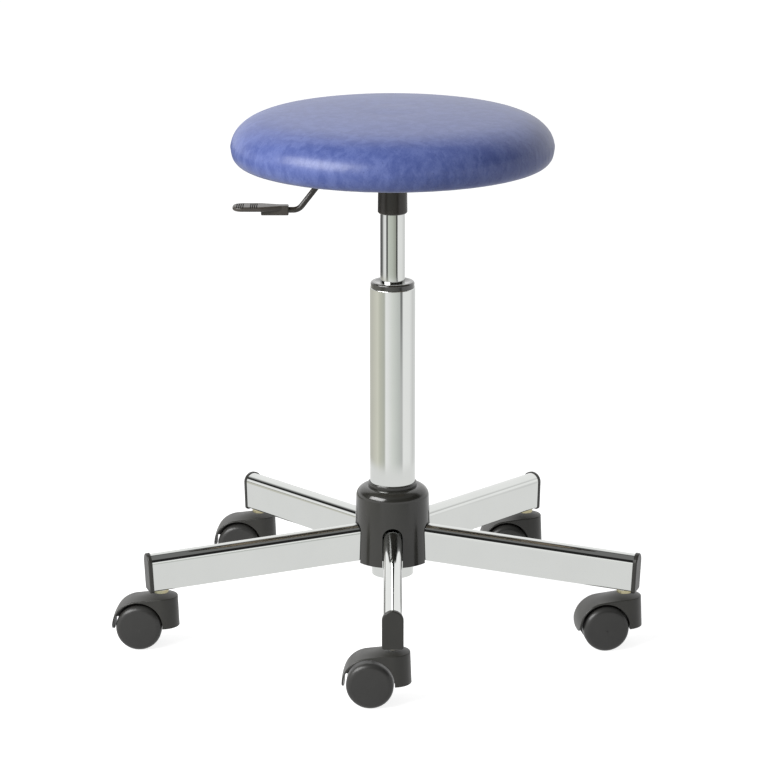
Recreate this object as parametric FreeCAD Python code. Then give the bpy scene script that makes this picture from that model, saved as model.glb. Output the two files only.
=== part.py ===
import FreeCAD
import Part

import math
import os

# Medical stool: padded round seat on a gas spring, five-armed base, twin-wheel castors.
# Millimetres and degrees. The origin is on the column's axis at floor level, +Z is up,
# the front arm points along -Y and the height lever along -X.

# Fits
running_fit = 0.05
slip_fit = 0.1
part_gap = 0.3

# Castor wheels and axle
wheel_diameter = 50.0
wheel_width = 16.5
wheel_dome = 1.0
wheel_edge_round = 6.5
wheel_rim_wall = 4.0
wheel_face_wall = 4.0
wheel_boss_diameter = 14.0
axle_diameter = 6.0
axle_grip = 8.0

# Castor hood: arched fender, centre web and stem barrel moulded in one
castor_trail = 23.0
hood_width = 39.6
hood_top_width = 36.6
hood_web = 13.0
hood_wall = 1.5
hood_wheel_gap = 2.0
hood_arch_back = 0.8
hood_arch_lift = 0.9
hood_arch_crown = 0.8
hood_edge_slope = 3.2
hood_ridge_slope = 15.5
hood_nose_radius = 45.0
hood_seat_rise = 6.4
hood_tail_height = 21.0
hood_tail_round = 13.0
hood_skirt_height = 23.8
hood_edge_round = 1.2
hood_boss_diameter = 17.0
web_clearance = 0.5

# Castor stem and its socket in the arm
stem_pin_diameter = 8.0
stem_pin_length = 26.0
stem_plug_diameter = 11.0
stem_plug_length = 30.0
stem_collar_diameter = 17.0
stem_collar_height = 3.3
stem_nose = 1.0
socket_diameter = 15.0
socket_length = 33.0
socket_stand_out = 0.6

# Base arms and their end caps
arm_count = 5
arm_names = ("front", "right", "back_right", "back_left", "left")
first_arm_angle = -90.0
castor_turns = (-3.0, 8.0, 4.0, -2.5, -2.5)
arm_reach = 276.6
stem_inset = 10.0
arm_width = 20.0
arm_height = 40.6
arm_wall = 1.5
arm_corner = 2.0
arm_inner_corner = 0.8
arm_slope = 3.0
cap_lip = 1.4
cap_thickness = 4.5
cap_corner = 2.6
cap_edge_round = 1.6
cap_plug_clearance = 0.5
cap_plug_wall = 2.0

# Hub: welded steel core and moulded cover
core_diameter = 60.0
core_overlap = 2.6
core_bottom_margin = 0.6
cover_bottom_diameter = 86.0
cover_shoulder_diameter = 80.8
cover_shoulder_drop = 15.0
cover_neck_diameter = 54.0
cover_neck_height = 4.5
cover_height = 88.3
cover_wall = 2.5
cover_below_arm = 2.7
cover_lip_round = 1.2
notch_side_gap = 1.2
notch_top_gap = 2.2

# Column tube with its tapered foot
column_diameter = 50.0
column_wall = 1.8
column_length = 328.0
column_drop = 18.5
column_taper_length = 82.0
taper_half_angle = 1.4377
column_lip_round = 0.6
floor_recess = 9.0
floor_thickness = 3.0

# Guide bush at the column's mouth
bush_flange_height = 6.5
bush_flange_inset = 0.9
bush_sleeve_length = 95.0
bush_edge_round = 2.0
bush_dish_depth = 1.2
bush_dish_width = 6.0

# Thrust bearing, rod, piston and stops inside the column
race_diameter = 26.0
race_thickness = 2.0
ball_diameter = 5.0
ball_count = 10
ball_circle_diameter = 18.0
cage_thickness = 2.0
cage_rim = 1.0
rod_diameter = 10.0
rod_foot_diameter = 8.0
rod_foot_length = 16.5
clip_groove_depth = 0.7
clip_diameter = 16.0
clip_thickness = 1.2
clip_slot = 5.0
bump_diameter = 24.0
bump_height = 12.0
piston_height = 16.0
rod_head_diameter = 12.0
rod_head_height = 3.0

# Gas cylinder
cylinder_diameter = 27.0
cylinder_wall = 1.75
cylinder_edge_round = 0.8
cylinder_plug_length = 30.0
rod_guide_length = 22.0
rod_guide_inset = 1.5
travel_down = 72.0
travel_up = 58.0
shown_length = 76.0
taper_below_socket = 7.0
taper_grip = 25.0
button_diameter = 8.0
button_length = 20.0
button_bore_depth = 24.0

# Taper socket and seat plate
socket_sleeve_diameter = 32.4
socket_sleeve_top_diameter = 31.0
socket_sleeve_length = 53.9
socket_sleeve_bore = 26.6
socket_sleeve_round = 2.0
lever_window_gap = 2.0
plate_side = 150.0
plate_thickness = 2.5
plate_corner = 14.0
flange_depth = 25.0
flange_front = 30.0
flange_back = 46.0
flange_chamfer = 14.0
bolt_spacing = 120.0
bolt_diameter = 6.0
bolt_head_diameter = 11.5
bolt_head_height = 4.0
bolt_length = 13.5
nut_barrel_diameter = 8.0
nut_flange_diameter = 18.0
nut_flange_thickness = 1.2

# Release lever
lever_diameter = 6.5
lever_drop_from_plate = 17.0
lever_pivot_reach = 30.0
lever_tip_past_axis = 3.5
lever_bend_reach = 76.2
lever_step_down = 33.5
lever_step_run = 26.0
lever_bend_radius = 12.0
lever_outer_run = 10.8
pivot_pin_diameter = 6.0
pivot_block_length = 14.0
pivot_block_width = 14.0
pivot_block_height = 12.0
grip_length = 61.0
grip_socket_length = 30.0
grip_socket_width = 12.0
grip_socket_height = 10.4
grip_edge_round = 1.2
grip_rod_depth = 26.0
paddle_width = 26.0
paddle_root_width = 8.0
paddle_thickness = 5.2
paddle_tip_round = 11.0
paddle_edge_round = 2.2
rib_count = 4
rib_pitch = 2.2
rib_groove = 1.0
rib_group_starts = (5.0, 20.0)

# Seat board and cushion
seat_diameter = 350.0
board_inset = 11.0
board_thickness = 12.0
hem_thickness = 1.2
hem_width = 24.0
cushion_foot_inset = 16.0
cushion_heel_fullness = 0.75
cushion_waist_height = 18.5
cushion_shoulder_width = 48.0
cushion_shoulder_height = 35.5
cushion_crown = 6.0

ORIGIN = FreeCAD.Vector(0, 0, 0)
UP = FreeCAD.Vector(0, 0, 1)
ACROSS = FreeCAD.Vector(0, 1, 0)
HALF_ROOT = math.sqrt(0.5)


# Levels worked out from the floor upwards
axle_height = wheel_diameter / 2
arch_radius = wheel_diameter / 2 + hood_wheel_gap + hood_wall
arch_centre = (-castor_trail - hood_arch_back, axle_height + hood_arch_lift)
castor_height = axle_height + hood_arch_lift + arch_radius + hood_seat_rise
collar_bottom = castor_height + part_gap
socket_bottom = collar_bottom + stem_collar_height
stem_circle_radius = arm_reach - stem_inset
cap_plug_depth = stem_inset - socket_diameter / 2 - cap_plug_clearance
slope_rate = math.tan(math.radians(arm_slope))
taper_rate = math.tan(math.radians(taper_half_angle))
arm_tip_bottom = socket_bottom + socket_stand_out - (arm_reach - stem_circle_radius) * slope_rate
core_radius = core_diameter / 2
arm_root_bottom = arm_tip_bottom + (arm_reach - core_radius) * slope_rate
arm_root_top = arm_root_bottom + arm_height / math.cos(math.radians(arm_slope))
core_bottom = arm_root_bottom - core_bottom_margin
core_top = arm_root_top + core_overlap
cover_bottom = arm_root_bottom - cover_below_arm
cover_top = cover_bottom + cover_height
column_radius = column_diameter / 2
column_inner_radius = column_radius - column_wall
column_bottom = cover_bottom - column_drop
column_top = column_bottom + column_length
taper_start = column_bottom + column_taper_length
floor_bottom = column_bottom + floor_recess
floor_top = floor_bottom + floor_thickness
ball_level = floor_top + race_thickness + ball_diameter / 2 + running_fit
upper_race_bottom = ball_level + ball_diameter / 2 + running_fit
rod_shoulder = upper_race_bottom + race_thickness
bump_top = rod_shoulder + bump_height
cylinder_radius = cylinder_diameter / 2
cylinder_inner_radius = cylinder_radius - cylinder_wall
cylinder_bottom = bump_top + part_gap + travel_down
guide_bottom = cylinder_bottom + rod_guide_inset
guide_top = guide_bottom + rod_guide_length
piston_bottom = guide_top + travel_up + part_gap
bush_top = column_top + bush_flange_height
sleeve_bottom = bush_top + shown_length
cylinder_taper_start = sleeve_bottom - taper_below_socket
cylinder_top = sleeve_bottom + taper_grip
plate_bottom = sleeve_bottom + socket_sleeve_length
plate_top = plate_bottom + plate_thickness
lever_level = plate_bottom - lever_drop_from_plate
button_top = lever_level - lever_diameter / 2 - part_gap
grip_level = lever_level - lever_step_down
lever_reach = lever_bend_reach + lever_step_run + lever_outer_run + grip_length
board_diameter = seat_diameter - 2 * board_inset
board_top = plate_top + board_thickness
hem_bottom = plate_top - hem_thickness


def upright(across, height):
    """Point on the XZ plane."""
    return FreeCAD.Vector(across, 0, height)


def crosswise(across, height):
    """Point on the YZ plane."""
    return FreeCAD.Vector(0, across, height)


def flat(across, depth):
    """Point on the XY plane."""
    return FreeCAD.Vector(across, depth, 0)


def outline(plane, start, *steps):
    """Closed face through points; a step of two points is an arc through the first of them."""
    edges = []
    here = start
    for step in steps:
        if isinstance(step[0], tuple):
            middle, there = step
            edges.append(Part.Arc(plane(*here), plane(*middle), plane(*there)).toShape())
        else:
            there = step
            edges.append(Part.LineSegment(plane(*here), plane(*there)).toShape())
        here = there
    if here != start:
        edges.append(Part.LineSegment(plane(*here), plane(*start)).toShape())
    return Part.Face(Part.Wire(edges))


def turned(start, *steps):
    """Solid of revolution about Z from a half section of radius and height."""
    return outline(upright, start, *steps).revolve(ORIGIN, UP, 360)


def ring(inner_radius, outer_radius, bottom, top):
    """Plain ring about Z."""
    return turned((inner_radius, bottom), (outer_radius, bottom), (outer_radius, top), (inner_radius, top))


def rod(radius, bottom, top, x=0.0, y=0.0):
    """Upright cylinder."""
    return Part.makeCylinder(radius, top - bottom, FreeCAD.Vector(x, y, bottom))


def cross_rod(radius, low_y, high_y, x, z):
    """Cylinder along Y."""
    return Part.makeCylinder(radius, high_y - low_y, FreeCAD.Vector(x, low_y, z), ACROSS)


def block(low, high):
    """Box between two corners."""
    sizes = [top - bottom for bottom, top in zip(low, high)]
    return Part.makeBox(*sizes, FreeCAD.Vector(*low))


def quarter(centre, radius_a, radius_b):
    """Middle point of a quarter of an ellipse about a centre."""
    return (centre[0] + radius_a * HALF_ROOT, centre[1] + radius_b * HALF_ROOT)


def domed(radius, height, rise):
    """Arc step from a rim up to the apex on the axis, part of a sphere about the axis."""
    ball = (radius ** 2 + rise ** 2) / (2 * rise)
    middle = math.sqrt(ball ** 2 - (radius / 2) ** 2) - (ball - rise)
    return ((radius / 2, height + middle), (0.0, height + rise))


def taper_radius(height):
    """Outer radius of the column at a height."""
    return column_radius - max(0.0, taper_start - height) * taper_rate


def cylinder_taper_radius(height):
    """Outer radius of the gas cylinder at a height."""
    return cylinder_radius - max(0.0, height - cylinder_taper_start) * taper_rate


def around(shape, index):
    """Copy of a shape made on +X, turned to one of the arms."""
    copy = shape.copy()
    copy.rotate(ORIGIN, UP, first_arm_angle + index * 360 / arm_count)
    return copy


def stem_place(index):
    """Centre of one castor stem."""
    angle = math.radians(first_arm_angle + index * 360 / arm_count)
    return FreeCAD.Vector(stem_circle_radius * math.cos(angle), stem_circle_radius * math.sin(angle), 0)


def at_castor(shape, index):
    """Copy of a castor piece made at the origin, trailing along -X, set under its arm."""
    copy = shape.copy()
    copy.rotate(ORIGIN, UP, castor_turns[index])
    copy.translate(stem_place(index))
    return copy


# Castors
def make_wheel(side):
    """Dished wheel with a domed face, on one side of the web."""
    radius = wheel_diameter / 2
    inner = hood_web / 2 + web_clearance
    outer = inner + wheel_width
    boss = wheel_boss_diameter / 2
    bore = axle_diameter / 2 + running_fit
    hollow = outer - wheel_face_wall
    edge = radius - wheel_edge_round
    wheel = turned(
        (bore, inner),
        (boss, inner),
        (boss, hollow),
        (radius - wheel_rim_wall, hollow),
        (radius - wheel_rim_wall, inner),
        (radius, inner),
        (radius, outer - wheel_edge_round),
        (quarter((edge, outer - wheel_edge_round), wheel_edge_round, wheel_edge_round), (edge, outer)),
        domed(edge, outer, wheel_dome),
        (0.0, inner + axle_grip + part_gap),
        (bore, inner + axle_grip + part_gap),
    )
    wheel.rotate(ORIGIN, FreeCAD.Vector(1, 0, 0), -90 * side)
    wheel.translate(FreeCAD.Vector(-castor_trail, 0, axle_height))
    return wheel


def make_axle():
    """Pin through the web into both wheels."""
    reach = hood_web / 2 + web_clearance + axle_grip
    return cross_rod(axle_diameter / 2, -reach, reach, -castor_trail, axle_height)


def hood_half(height):
    """Half of the hood's width at a height; the sides lean in towards the top."""
    lean = (hood_width - hood_top_width) / 2 / (castor_height - hood_skirt_height)
    return hood_top_width / 2 + (castor_height - height) * lean


def hood_sides(foot, front, back):
    """Length of the hood with leaning sides, above a foot height."""
    low = hood_half(foot)
    high = hood_half(castor_height)
    face = outline(crosswise, (-low, foot), (low, foot), (high, castor_height), (-high, castor_height))
    face.translate(FreeCAD.Vector(front, 0, 0))
    return face.extrude(FreeCAD.Vector(back - front, 0, 0))


def hood_block():
    """Round leaning barrel at the stem, and leaning sides from there to the axle and past the tail."""
    low = hood_half(hood_skirt_height)
    high = hood_half(castor_height)
    rise = castor_height - hood_skirt_height
    barrel = Part.makeCone(low, high, rise, UP * hood_skirt_height, UP, 180)
    barrel.rotate(ORIGIN, UP, -90)
    middle = hood_sides(hood_skirt_height, 0.0, -castor_trail)
    tail = hood_sides(hood_tail_height, -castor_trail, -castor_trail - 2 * arch_radius)
    return barrel.fuse([middle, tail]).removeSplitter()


def hood_tail_corner():
    """Waste outside one rounded lower corner of the tail, seen from behind."""
    corner = hood_tail_round
    foot = hood_tail_height
    half = hood_half(foot + corner)
    bend = corner * (1 - HALF_ROOT)
    face = outline(
        crosswise,
        (half + corner, foot - hood_wall),
        (half + corner, foot + corner),
        (half, foot + corner),
        ((half - bend, foot + bend), (half - corner, foot)),
        (half - corner, foot - hood_wall),
    )
    face.translate(FreeCAD.Vector(-castor_trail, 0, 0))
    return face.extrude(FreeCAD.Vector(-2 * arch_radius, 0, 0))


def on_circle(centre, radius, angle):
    """Point on a circle, the angle in radians."""
    return (centre[0] + radius * math.cos(angle), centre[1] + radius * math.sin(angle))


def hood_profile(across, crown, slope):
    """Side outline at one distance across: arch over the wheel, rising top, rounded nose."""
    radius = arch_radius + crown
    lean = math.radians(slope)
    tail_angle = math.pi + math.asin((arch_centre[1] - hood_tail_height + hood_wall) / radius)
    tail = on_circle(arch_centre, radius, tail_angle)
    top_angle = math.pi / 2 + lean
    top = on_circle(arch_centre, radius, top_angle)
    turn_back = hood_nose_radius * math.sin(lean)
    turn = (-turn_back, top[1] - (turn_back + top[0]) * math.tan(lean))
    nose = on_circle(turn, hood_nose_radius, lean - math.pi / 2)
    front = hood_width / 2 + hood_wall
    front_angle = math.acos(front / hood_nose_radius)
    face = outline(
        upright,
        tail,
        (on_circle(arch_centre, radius, (tail_angle + top_angle) / 2), top),
        turn,
        (
            on_circle(nose, hood_nose_radius, (front_angle + top_angle) / 2),
            on_circle(nose, hood_nose_radius, front_angle),
        ),
        (front, 0.0),
        (tail[0], 0.0),
    )
    face.translate(ACROSS * across)
    return face.OuterWire


def hood_crown():
    """Crowned solid over the whole hood, from one edge over the ridge to the other edge."""
    half = hood_half(hood_tail_height) + hood_wall
    edges = [hood_profile(across, 0.0, hood_edge_slope) for across in (-half, half)]
    ridge = hood_profile(0.0, hood_arch_crown, hood_ridge_slope)
    return Part.makeLoft([edges[0], ridge, edges[1]], True)


def on_hood_side(edge):
    """True for an edge where the crowned top meets the leaning sides or the barrel."""
    middle = edge.valueAt((edge.FirstParameter + edge.LastParameter) / 2)
    reach = math.hypot(max(middle.x, 0.0), middle.y)
    box = edge.BoundBox
    return (
        abs(reach - hood_half(middle.z)) < part_gap / 10
        and box.ZMax > hood_skirt_height + hood_wall
        and box.XLength > part_gap / 10
    )


def wheel_wells():
    """Room for both wheels, with the web left between them down to the tail's open window."""
    boss = hood_boss_diameter / 2
    web_end = -castor_trail - boss - hood_wall
    window_top = hood_tail_height + hood_tail_round
    tail = -castor_trail - 2 * arch_radius
    web = outline(
        upright,
        (web_end, 0.0),
        (hood_width, 0.0),
        (hood_width, castor_height),
        (tail, castor_height),
        (tail, window_top),
        (web_end, window_top),
    )
    web.translate(ACROSS * (-hood_web / 2))
    room = cross_rod(arch_radius - hood_wall, -hood_width, hood_width, *arch_centre)
    return room.cut(web.extrude(ACROSS * hood_web))


def make_hood():
    """Hood under its crowned top, hollowed for the wheels, bored for stem and axle."""
    body = hood_block().common(hood_crown()).removeSplitter()
    body = body.makeFillet(hood_edge_round, [edge for edge in body.Edges if on_hood_side(edge)])
    corner = hood_tail_corner()
    body = body.cut(corner)
    body = body.cut(corner.mirror(ORIGIN, ACROSS))
    web_half = hood_web / 2
    boss = cross_rod(hood_boss_diameter / 2, -web_half, web_half, -castor_trail, axle_height)
    body = body.fuse(boss).removeSplitter().cut(wheel_wells())
    hole = axle_diameter / 2 + running_fit
    body = body.cut(cross_rod(hole, -hood_width, hood_width, -castor_trail, axle_height))
    stem_end = collar_bottom - stem_pin_length - part_gap
    return body.cut(rod(stem_pin_diameter / 2 + running_fit, stem_end, castor_height + part_gap))


def vertical(edge):
    """True for a straight edge along Z."""
    box = edge.BoundBox
    return box.XLength < 1e-6 and box.YLength < 1e-6


def make_stem():
    """Castor stem: pin for the hood, collar, and plug for the arm's socket."""
    pin = stem_pin_diameter / 2
    plug = stem_plug_diameter / 2
    low = collar_bottom - stem_pin_length
    high = socket_bottom + stem_plug_length
    collar = stem_collar_diameter / 2
    return turned(
        (0.0, low),
        (pin - stem_nose, low),
        (pin, low + stem_nose),
        (pin, collar_bottom),
        (collar, collar_bottom),
        (collar, socket_bottom),
        (plug, socket_bottom),
        (plug, high - stem_nose),
        (plug - stem_nose, high),
        (0.0, high),
    )


def make_castor_socket():
    """Steel sleeve welded upright in an arm."""
    bore = stem_plug_diameter / 2 + running_fit
    return ring(bore, socket_diameter / 2, socket_bottom, socket_bottom + socket_length)


# Base
def arch_face(width, height, corner, lift):
    """Section with a round top and a flat foot, seen along the arm."""
    half = width / 2
    spring = lift + height - half
    bend = corner * (1 - HALF_ROOT)
    return outline(
        crosswise,
        (corner - half, lift),
        (half - corner, lift),
        ((half - bend, lift + bend), (half, lift + corner)),
        (half, spring),
        ((0.0, lift + height), (-half, spring)),
        (-half, lift + corner),
        ((bend - half, lift + bend), (corner - half, lift)),
    )


def along_arm(shape):
    """Shape made with the arm's tip at the origin and the arm along X, set at its slope on +X."""
    shape.rotate(ORIGIN, ACROSS, arm_slope)
    shape.translate(FreeCAD.Vector(arm_reach, 0, arm_tip_bottom))
    return shape


def make_arm():
    """Sloping arched tube, coped to the hub core and bored for the castor socket."""
    back = FreeCAD.Vector(-arm_reach, 0, 0)
    tube = arch_face(arm_width, arm_height, arm_corner, 0.0).extrude(back)
    inside = arch_face(arm_width - 2 * arm_wall, arm_height - 2 * arm_wall, arm_inner_corner, arm_wall)
    tube = along_arm(tube.cut(inside.extrude(back)))
    tube = tube.cut(rod(core_radius + running_fit, 0.0, cover_top))
    middle = arm_tip_bottom + arm_height / 2
    return tube.cut(rod(socket_diameter / 2 + running_fit, 0.0, middle, stem_circle_radius))


def make_cap():
    """Moulded end cap: rounded flange and a short hollow plug inside the tube."""
    flange = arch_face(arm_width + 2 * cap_lip, arm_height + 2 * cap_lip, cap_corner, -cap_lip)
    flange = flange.extrude(FreeCAD.Vector(cap_thickness, 0, 0))
    rim = [edge for edge in flange.Edges if edge.BoundBox.XMin > cap_thickness / 2]
    flange = flange.makeFillet(cap_edge_round, rim)
    back = FreeCAD.Vector(-cap_plug_depth, 0, 0)
    inset = arm_wall + slip_fit
    plug = arch_face(arm_width - 2 * inset, arm_height - 2 * inset, arm_inner_corner, inset).extrude(back)
    inset += cap_plug_wall
    hollow = arch_face(arm_width - 2 * inset, arm_height - 2 * inset, arm_inner_corner, inset).extrude(back)
    return along_arm(flange.fuse(plug.cut(hollow)).removeSplitter())


def make_hub_core():
    """Welded hub with a tapered bore for the column's foot."""
    low = taper_radius(core_bottom) + running_fit
    high = taper_radius(core_top) + running_fit
    steps = [(core_radius, core_bottom), (core_radius, core_top), (high, core_top)]
    if core_bottom < taper_start < core_top:
        steps.append((column_radius + running_fit, taper_start))
    return turned((low, core_bottom), *steps)


def make_hub_cover():
    """Moulded shell over the arm roots, notched for each arm, seated on the hub core."""
    bottom_radius = cover_bottom_diameter / 2
    shoulder_radius = cover_shoulder_diameter / 2
    shoulder = cover_top - cover_shoulder_drop
    neck = cover_neck_diameter / 2
    neck_base = cover_top - cover_neck_height
    bore = column_radius + part_gap
    seat = core_radius - part_gap
    roof = neck_base - cover_wall
    lip = cover_lip_round
    shell = turned(
        (bottom_radius, cover_bottom),
        (shoulder_radius, shoulder),
        (quarter((neck, shoulder), shoulder_radius - neck, neck_base - shoulder), (neck, neck_base)),
        (neck, cover_top - lip),
        (quarter((neck - lip, cover_top - lip), lip, lip), (neck - lip, cover_top)),
        (bore, cover_top),
        (bore, core_top),
        (seat, core_top),
        (seat, roof),
        (
            quarter((seat, shoulder), shoulder_radius - cover_wall - seat, roof - shoulder),
            (shoulder_radius - cover_wall, shoulder),
        ),
        (bottom_radius - cover_wall, cover_bottom),
    )
    width = arm_width + 2 * notch_side_gap
    drop = cover_height / 4
    notch = arch_face(width, arm_height + notch_top_gap + drop, arm_corner, -drop)
    notch.translate(FreeCAD.Vector(cover_bottom_diameter - arm_reach, 0, 0))
    notch = along_arm(notch.extrude(FreeCAD.Vector(core_radius - cover_bottom_diameter, 0, 0)))
    for index in range(arm_count):
        shell = shell.cut(around(notch, index))
    return shell


# Column
def make_column():
    """Round tube with a tapered foot and a floor for the thrust bearing."""
    hole = rod_foot_diameter / 2 + part_gap
    lip = column_lip_round
    return turned(
        (taper_radius(column_bottom), column_bottom),
        (column_radius, taper_start),
        (column_radius, column_top - lip),
        (quarter((column_radius - lip, column_top - lip), lip, lip), (column_radius - lip, column_top)),
        (column_inner_radius, column_top),
        (column_inner_radius, taper_start),
        (taper_radius(floor_top) - column_wall, floor_top),
        (hole, floor_top),
        (hole, floor_bottom),
        (taper_radius(floor_bottom) - column_wall, floor_bottom),
        (taper_radius(column_bottom) - column_wall, column_bottom),
    )


def make_guide_bush():
    """Flanged sleeve that guides the gas cylinder, with a dished mouth."""
    bore = cylinder_radius + running_fit
    sleeve = column_inner_radius - slip_fit
    flange = column_radius - bush_flange_inset
    edge = bush_edge_round
    return turned(
        (bore, column_top - bush_sleeve_length),
        (sleeve, column_top - bush_sleeve_length),
        (sleeve, column_top),
        (flange, column_top),
        (flange, bush_top - edge),
        (quarter((flange - edge, bush_top - edge), edge, edge), (flange - edge, bush_top)),
        (bore + bush_dish_width, bush_top),
        (bore, bush_top - bush_dish_depth),
    )


def make_lower_race():
    """Bearing washer on the column's floor."""
    return ring(rod_foot_diameter / 2 + part_gap, race_diameter / 2, floor_top, floor_top + race_thickness)


def make_upper_race():
    """Bearing washer under the rod's shoulder."""
    return ring(rod_foot_diameter / 2 + running_fit, race_diameter / 2, upper_race_bottom, rod_shoulder)


def make_ball_cage():
    """Bearing balls in their cage."""
    middle = ball_circle_diameter / 2
    reach = ball_diameter / 2 + cage_rim
    low = ball_level - cage_thickness / 2
    cage = ring(middle - reach, middle + reach, low, low + cage_thickness)
    balls = []
    for index in range(ball_count):
        angle = 2 * math.pi * index / ball_count
        centre = FreeCAD.Vector(middle * math.cos(angle), middle * math.sin(angle), ball_level)
        cage = cage.cut(Part.makeSphere(ball_diameter / 2 + running_fit, centre))
        balls.append(Part.makeSphere(ball_diameter / 2, centre))
    return Part.makeCompound([cage] + balls)


def make_piston_rod():
    """Steel rod with a shouldered foot, a clip groove and a head above the piston."""
    foot = rod_foot_diameter / 2
    body = rod_diameter / 2
    head = rod_head_diameter / 2
    groove = foot - clip_groove_depth
    groove_top = floor_bottom - part_gap
    piston_top = piston_bottom + piston_height
    return turned(
        (0.0, rod_shoulder - rod_foot_length),
        (foot, rod_shoulder - rod_foot_length),
        (foot, groove_top - clip_thickness),
        (groove, groove_top - clip_thickness),
        (groove, groove_top),
        (foot, groove_top),
        (foot, rod_shoulder),
        (body, rod_shoulder),
        (body, piston_bottom),
        (foot, piston_bottom),
        (foot, piston_top),
        (head, piston_top),
        (head, piston_top + rod_head_height),
        (0.0, piston_top + rod_head_height),
    )


def make_piston():
    """Piston ring carried on the rod's spigot."""
    bore = rod_foot_diameter / 2 + running_fit
    return ring(bore, cylinder_inner_radius - part_gap, piston_bottom, piston_bottom + piston_height)


def make_rod_clip():
    """Open retaining clip in the rod's groove below the column's floor."""
    top = floor_bottom - part_gap
    inner = rod_foot_diameter / 2 - clip_groove_depth + running_fit
    clip = ring(inner, clip_diameter / 2, top - clip_thickness, top)
    half = clip_slot / 2
    return clip.cut(block((0.0, -half, top - clip_thickness), (clip_diameter, half, top)))


def make_bump_stop():
    """Rubber stop round the foot of the rod."""
    return ring(rod_diameter / 2 + slip_fit, bump_diameter / 2, rod_shoulder, bump_top)


# Gas cylinder
def make_gas_cylinder():
    """Pressure tube with a tapered, plugged top that takes the release button."""
    edge = cylinder_edge_round
    crown = cylinder_taper_radius(cylinder_top)
    bore = button_diameter / 2 + running_fit
    return turned(
        (cylinder_inner_radius, cylinder_bottom),
        (cylinder_radius - edge, cylinder_bottom),
        (cylinder_radius, cylinder_bottom + edge),
        (cylinder_radius, cylinder_taper_start),
        (crown, cylinder_top - edge),
        (crown - edge, cylinder_top),
        (bore, cylinder_top),
        (bore, cylinder_top - button_bore_depth),
        (0.0, cylinder_top - button_bore_depth),
        (0.0, cylinder_top - cylinder_plug_length),
        (cylinder_inner_radius, cylinder_top - cylinder_plug_length),
    )


def make_rod_guide():
    """Guide and seal in the lower end of the pressure tube."""
    return ring(rod_diameter / 2 + running_fit, cylinder_inner_radius - running_fit, guide_bottom, guide_top)


def make_release_button():
    """Valve pin on top of the gas cylinder, with a rounded head."""
    radius = button_diameter / 2
    low = button_top - button_length
    return turned(
        (0.0, low),
        (radius, low),
        (radius, button_top - stem_nose),
        (radius - stem_nose, button_top),
        (0.0, button_top),
    )


# Seat carrier
def make_taper_socket():
    """Sleeve that wedges on the gas cylinder, with a window for the lever."""
    low = socket_sleeve_diameter / 2
    high = socket_sleeve_top_diameter / 2
    edge = socket_sleeve_round
    wedge = cylinder_taper_radius(cylinder_top) + running_fit
    mouth = cylinder_taper_radius(sleeve_bottom) + running_fit
    bore = socket_sleeve_bore / 2
    sleeve = turned(
        (mouth, sleeve_bottom),
        (low - edge, sleeve_bottom),
        ((low - edge * (1 - HALF_ROOT), sleeve_bottom + edge * (1 - HALF_ROOT)), (low, sleeve_bottom + edge)),
        (high, plate_bottom),
        (bore, plate_bottom),
        (bore, cylinder_top),
        (wedge, cylinder_top),
    )
    half = lever_diameter / 2 + lever_window_gap
    return sleeve.cut(block((-socket_sleeve_diameter, -half, cylinder_top), (0.0, half, plate_bottom)))


def bolt_places():
    """Centres of the four seat bolts."""
    half = bolt_spacing / 2
    return [(x, y) for x in (-half, half) for y in (-half, half)]


def make_seat_plate():
    """Pressed plate with bolt holes and two flanges that carry the lever's pivot."""
    half = plate_side / 2
    plate = block((-half, -half, plate_bottom), (half, half, plate_top))
    plate = plate.makeFillet(plate_corner, [edge for edge in plate.Edges if vertical(edge)])
    for x, y in bolt_places():
        plate = plate.cut(rod(bolt_diameter / 2 + part_gap, plate_bottom, plate_top, x, y))
    inner = socket_sleeve_diameter / 2 + part_gap
    flange_bottom = plate_bottom - flange_depth
    face = outline(
        upright,
        (-flange_back, plate_bottom),
        (-flange_back, flange_bottom + flange_chamfer),
        (flange_chamfer - flange_back, flange_bottom),
        (flange_front - flange_chamfer, flange_bottom),
        (flange_front, flange_bottom + flange_chamfer),
        (flange_front, plate_bottom),
    )
    hole = pivot_pin_diameter / 2 + running_fit
    for low in (inner, -inner - plate_thickness):
        flange = face.extrude(ACROSS * plate_thickness)
        flange.translate(ACROSS * low)
        flange = flange.cut(cross_rod(hole, low, low + plate_thickness, -lever_pivot_reach, lever_level))
        plate = plate.fuse(flange)
    return plate.removeSplitter()


def make_seat_bolts():
    """Four bolts up through the plate into the seat board."""
    bolts = []
    for x, y in bolt_places():
        head = rod(bolt_head_diameter / 2, plate_bottom - bolt_head_height, plate_bottom, x, y)
        head = head.makeChamfer(1.0, [edge for edge in head.Edges if edge.BoundBox.ZMax < plate_bottom - 1])
        shank = rod(bolt_diameter / 2, plate_bottom, plate_bottom + bolt_length, x, y)
        bolts.append(head.fuse(shank).removeSplitter())
    return Part.makeCompound(bolts)


def make_tee_nuts():
    """Four flanged nuts let into the top of the seat board."""
    bore = bolt_diameter / 2 + running_fit
    low = board_top - nut_flange_thickness
    nuts = []
    for x, y in bolt_places():
        nut = turned(
            (bore, plate_top + plate_thickness),
            (nut_barrel_diameter / 2, plate_top + plate_thickness),
            (nut_barrel_diameter / 2, low),
            (nut_flange_diameter / 2, low),
            (nut_flange_diameter / 2, board_top),
            (bore, board_top),
        )
        nut.translate(FreeCAD.Vector(x, y, 0))
        nuts.append(nut)
    return Part.makeCompound(nuts)


def make_seat_board():
    """Plywood disc under the foam, bored for the nuts."""
    board = rod(board_diameter / 2, plate_top, board_top)
    for x, y in bolt_places():
        board = board.cut(rod(nut_barrel_diameter / 2 + running_fit, plate_top, board_top, x, y))
        low = board_top - nut_flange_thickness
        board = board.cut(rod(nut_flange_diameter / 2 + running_fit, low, board_top, x, y))
    return board


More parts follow.
